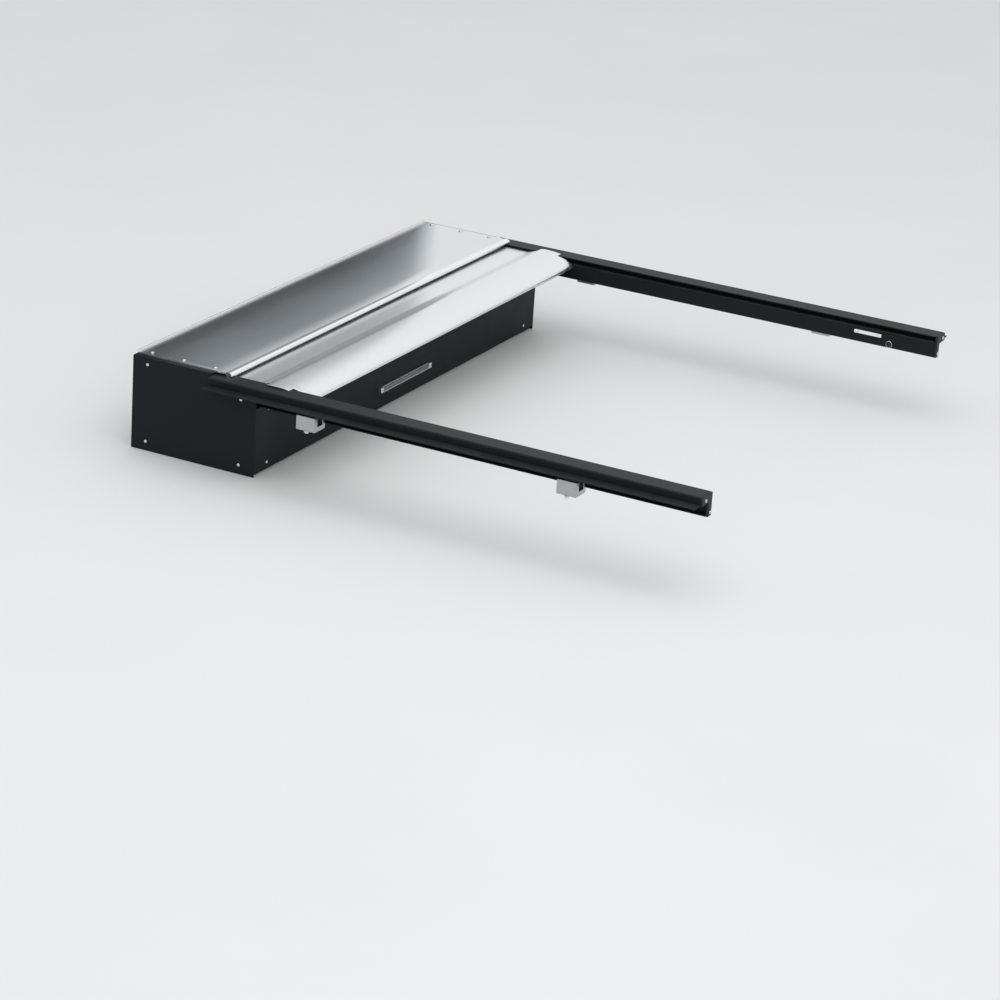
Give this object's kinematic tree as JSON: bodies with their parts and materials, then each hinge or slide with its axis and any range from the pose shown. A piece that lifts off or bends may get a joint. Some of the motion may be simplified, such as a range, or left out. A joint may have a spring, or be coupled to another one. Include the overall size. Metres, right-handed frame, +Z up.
{
  "type": "retractable tonneau cover",
  "caption": "Slatted pickup bed cover that rolls onto a motor drum in a canister and slides in two side rails.",
  "frame": {"origin": "midway between the side rails, at the canister's front face, on the plane where the rails' flanges rest on the bed walls", "axes": "+X to the vehicle's right, +Y towards the cab, +Z up"},
  "size_m": [1.53, 1.5063, 0.2415],
  "materials": {
    "graphite_aluminium": "satin anodised, graphite",
    "satin_aluminium": "satin anodised, silver",
    "bright_aluminium": "polished",
    "drum_aluminium": "mill finish",
    "black_metal": "black powder coat",
    "black_plastic": "moulded, fine grain",
    "rubber": "matte",
    "steel": "zinc plated",
    "motor_grey": "satin grey tube",
    "lens": "frosted"
  },
  "bodies": {
    "frame": {"button_bezel": "steel", "canister_shell": "black_metal", "catch_plate_left": "bright_aluminium", "catch_plate_right": "bright_aluminium", "clamp_front_left": "steel", "clamp_front_right": "steel", "clamp_rear_left": "steel", "clamp_rear_right": "steel", "end_plate_left": "black_metal", "end_plate_right": "black_metal", "idler_bracket": "steel", "idler_pin": "steel", "lid": "graphite_aluminium", "lid_front_strip": "bright_aluminium", "lid_rear_trim": "bright_aluminium", "lid_screw_left_1": "steel", "lid_screw_left_2": "steel", "lid_screw_left_3": "steel", "lid_screw_right_1": "steel", "lid_screw_right_2": "steel", "lid_screw_right_3": "steel", "light_housing": "satin_aluminium", "light_lens": "lens", "motor_body": "motor_grey", "motor_bracket": "steel", "mouth_wiper": "rubber", "rail_end_left": "black_plastic", "rail_end_right": "black_plastic", "rail_left": "black_metal", "rail_liner_left": "black_plastic", "rail_liner_right": "black_plastic", "rail_right": "black_metal"},
    "curtain": {"lead_apron": "satin_aluminium", "lead_cap_left": "satin_aluminium", "lead_cap_right": "satin_aluminium", "lead_nose": "satin_aluminium", "nose_seal": "rubber", "straight_slat_1": "graphite_aluminium", "straight_slat_2": "graphite_aluminium"},
    "drum": {"drive_wheel": "black_plastic", "drum_tube": "drum_aluminium", "idler_plug": "black_plastic", "rolled_slat_01": "graphite_aluminium", "rolled_slat_02": "graphite_aluminium", "rolled_slat_03": "graphite_aluminium", "rolled_slat_04": "graphite_aluminium", "rolled_slat_05": "graphite_aluminium", "rolled_slat_06": "graphite_aluminium", "rolled_slat_07": "graphite_aluminium", "rolled_slat_08": "graphite_aluminium", "rolled_slat_09": "graphite_aluminium", "rolled_slat_10": "graphite_aluminium", "rolled_slat_11": "graphite_aluminium", "rolled_slat_12": "graphite_aluminium", "rolled_slat_13": "graphite_aluminium", "rolled_slat_14": "graphite_aluminium", "rolled_slat_15": "graphite_aluminium", "rolled_slat_16": "graphite_aluminium", "rolled_slat_17": "graphite_aluminium"},
    "button": {"button_cap": "black_plastic"}
  },
  "joints": [
    {"name": "curtain_slide", "type": "slide", "parent": "frame", "child": "curtain", "axis": [0, -1, 0], "range_m": [0, 1.025]},
    {"name": "drum_turn", "type": "hinge", "parent": "frame", "child": "drum", "pos_m": [0, -0.099, -0.074], "axis": [1, 0, 0], "range_deg": [0, 925]},
    {"name": "button_press", "type": "slide", "parent": "frame", "child": "button", "axis": [1, 0, 0], "range_m": [0, 0.0015], "stiffness_N_per_m": 400}
  ],
  "couplings": [
    {"joint": "drum_turn", "follows": "curtain_slide", "rad_per_m": 15.67}
  ]
}
